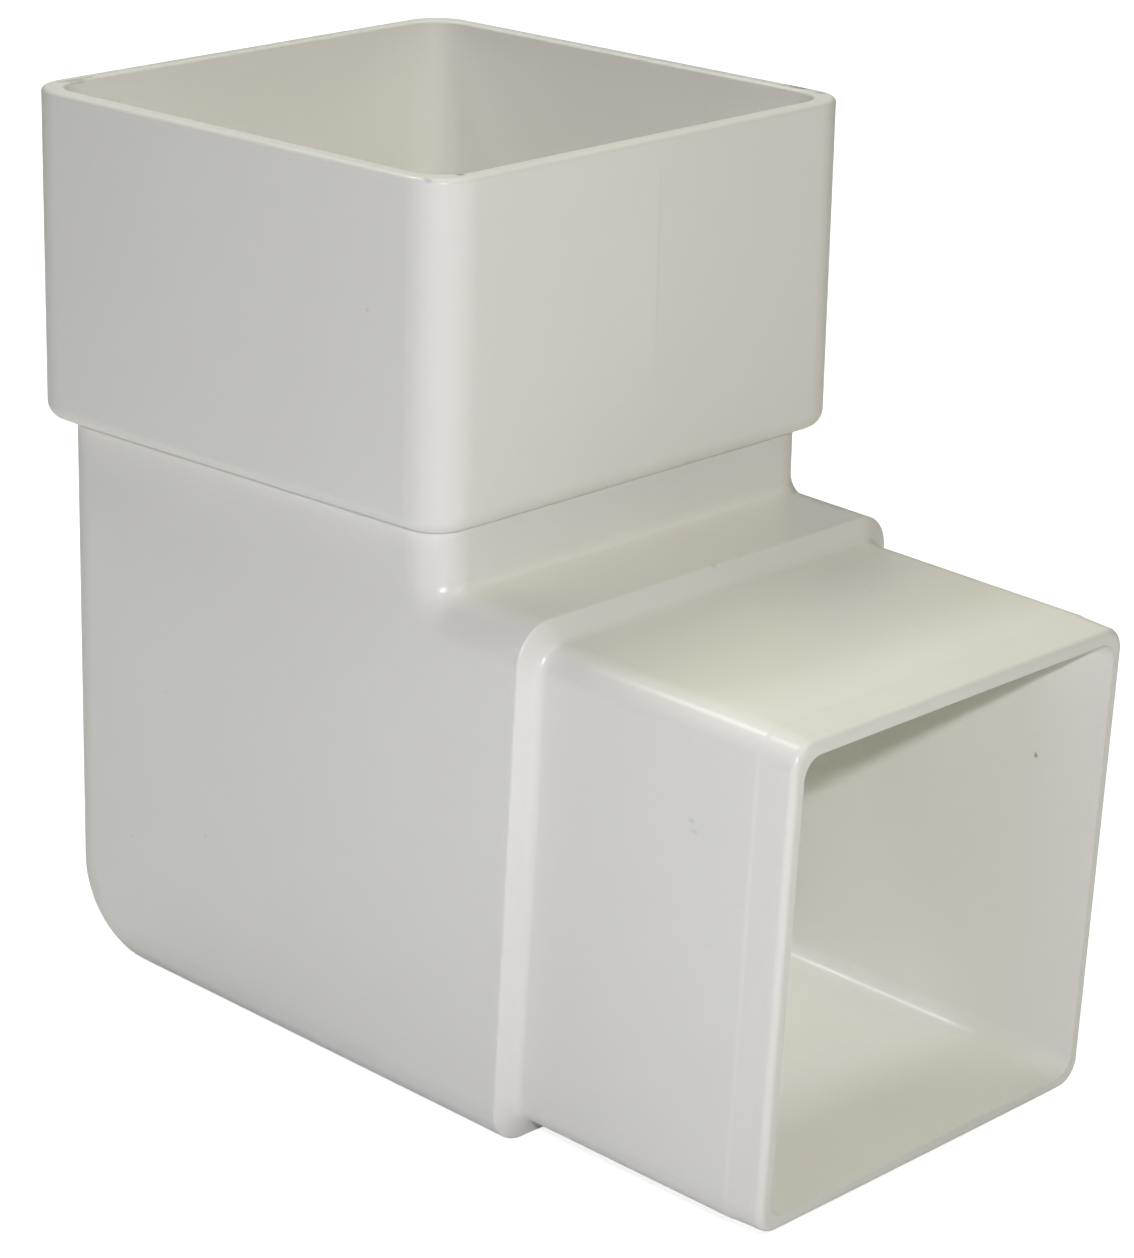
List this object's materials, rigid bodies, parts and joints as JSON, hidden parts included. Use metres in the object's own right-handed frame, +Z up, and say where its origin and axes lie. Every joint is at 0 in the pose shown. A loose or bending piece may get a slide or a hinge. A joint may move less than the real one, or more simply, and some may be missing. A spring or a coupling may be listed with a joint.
{
  "type": "downspout elbow",
  "caption": "Square downpipe elbow moulded in one piece: a socket on top, a rounded heel and a smaller tapered spigot that leaves almost level and falls slightly.",
  "frame": {"origin": "on the socket's axis, at the ledge inside it that stops the pipe", "axes": "+Z up out of the socket, +X the way the spigot leaves, +Y across, symmetric about Y = 0"},
  "size_m": [0.1185, 0.0704, 0.1139],
  "materials": {
    "white_plastic": "moulded off-white gloss"
  },
  "bodies": {
    "root": {"downpipe_elbow": "white_plastic"}
  },
  "joints": []
}
